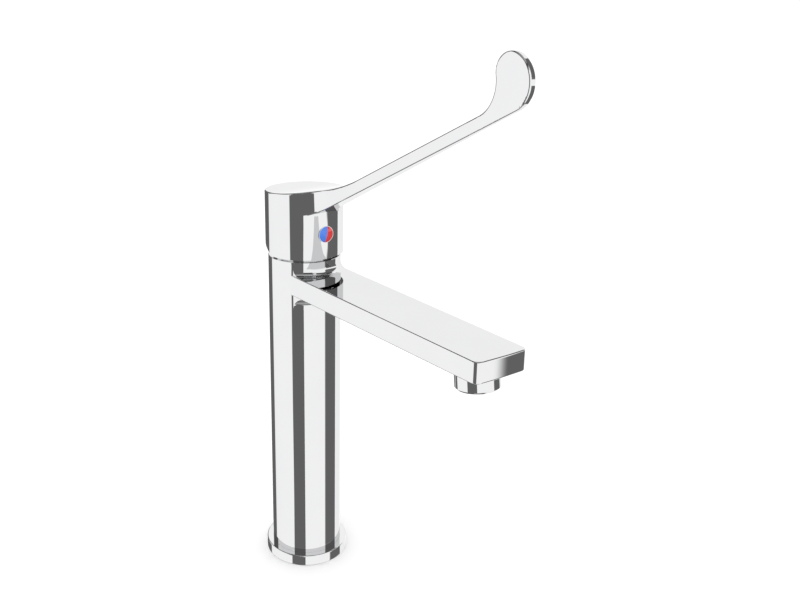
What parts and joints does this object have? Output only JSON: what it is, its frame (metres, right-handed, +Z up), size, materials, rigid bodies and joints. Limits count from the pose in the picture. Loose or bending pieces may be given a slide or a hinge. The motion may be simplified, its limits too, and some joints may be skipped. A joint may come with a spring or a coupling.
{
  "type": "basin mixer tap",
  "caption": "Tall single-lever basin mixer tap with a straight flat spout, an aerator and a long paddle lever that lifts for flow and turns for temperature.",
  "frame": {"origin": "the column's axis at the underside of the base ring, where the tap meets the deck", "axes": "+Z up the column, +X along the spout and the closed lever, +Y to the hot side"},
  "size_m": [0.2217, 0.0566, 0.3592],
  "materials": {
    "chrome": "polished chrome plating on brass",
    "brass": "turned, bare",
    "steel": "bright stainless",
    "copper": "drawn copper tube",
    "rubber": "matt black",
    "ceramic": "lapped ceramic",
    "cartridge_plastic": "moulded",
    "white_plastic": "moulded",
    "limiter_plastic": "moulded",
    "blue_plastic": "glossy",
    "red_plastic": "glossy"
  },
  "bodies": {
    "tap": {"tap_body": "chrome", "base_ring": "chrome", "base_seal": "rubber", "foot_o_ring": "rubber", "inlet_block": "brass", "inlet_block_circlip": "steel", "cold_riser_tube": "copper", "hot_riser_tube": "copper", "riser_o_rings": "rubber", "cartridge_base": "cartridge_plastic", "cartridge_port_seals": "rubber", "disc_port_seals": "rubber", "fixed_disc": "ceramic", "cartridge_housing": "cartridge_plastic", "cartridge_nut": "brass", "nut_cover": "chrome", "nut_cover_ring": "rubber", "aerator_housing": "chrome", "aerator_washer": "rubber", "flow_limiter": "limiter_plastic", "aerator_insert": "white_plastic", "aerator_screen": "steel"},
    "rotor": {"rotor": "white_plastic", "rotor_o_ring": "rubber", "pivot_pin": "steel"},
    "disc": {"disc_carrier": "white_plastic", "moving_disc": "ceramic"},
    "lever": {"lever_handle": "chrome", "stem": "brass", "stem_sleeve": "white_plastic", "grub_screw": "steel", "marker_plug": "chrome", "marker_cold_half": "blue_plastic", "marker_hot_half": "red_plastic"}
  },
  "joints": [
    {"name": "temperature_turn", "type": "hinge", "parent": "tap", "child": "rotor", "pos_m": [0, 0, 0.2335], "axis": [0, 0, 1], "range_deg": [-45, 45]},
    {"name": "lever_lift", "type": "hinge", "parent": "rotor", "child": "lever", "pos_m": [0, 0, 0.2335], "axis": [0, -1, 0], "range_deg": [0, 20]},
    {"name": "disc_slide", "type": "slide", "parent": "rotor", "child": "disc", "axis": [1, 0, 0], "range_m": [0, 0.0028]}
  ],
  "couplings": [
    {"joint": "disc_slide", "follows": "lever_lift", "m_per_rad": 0.008}
  ]
}
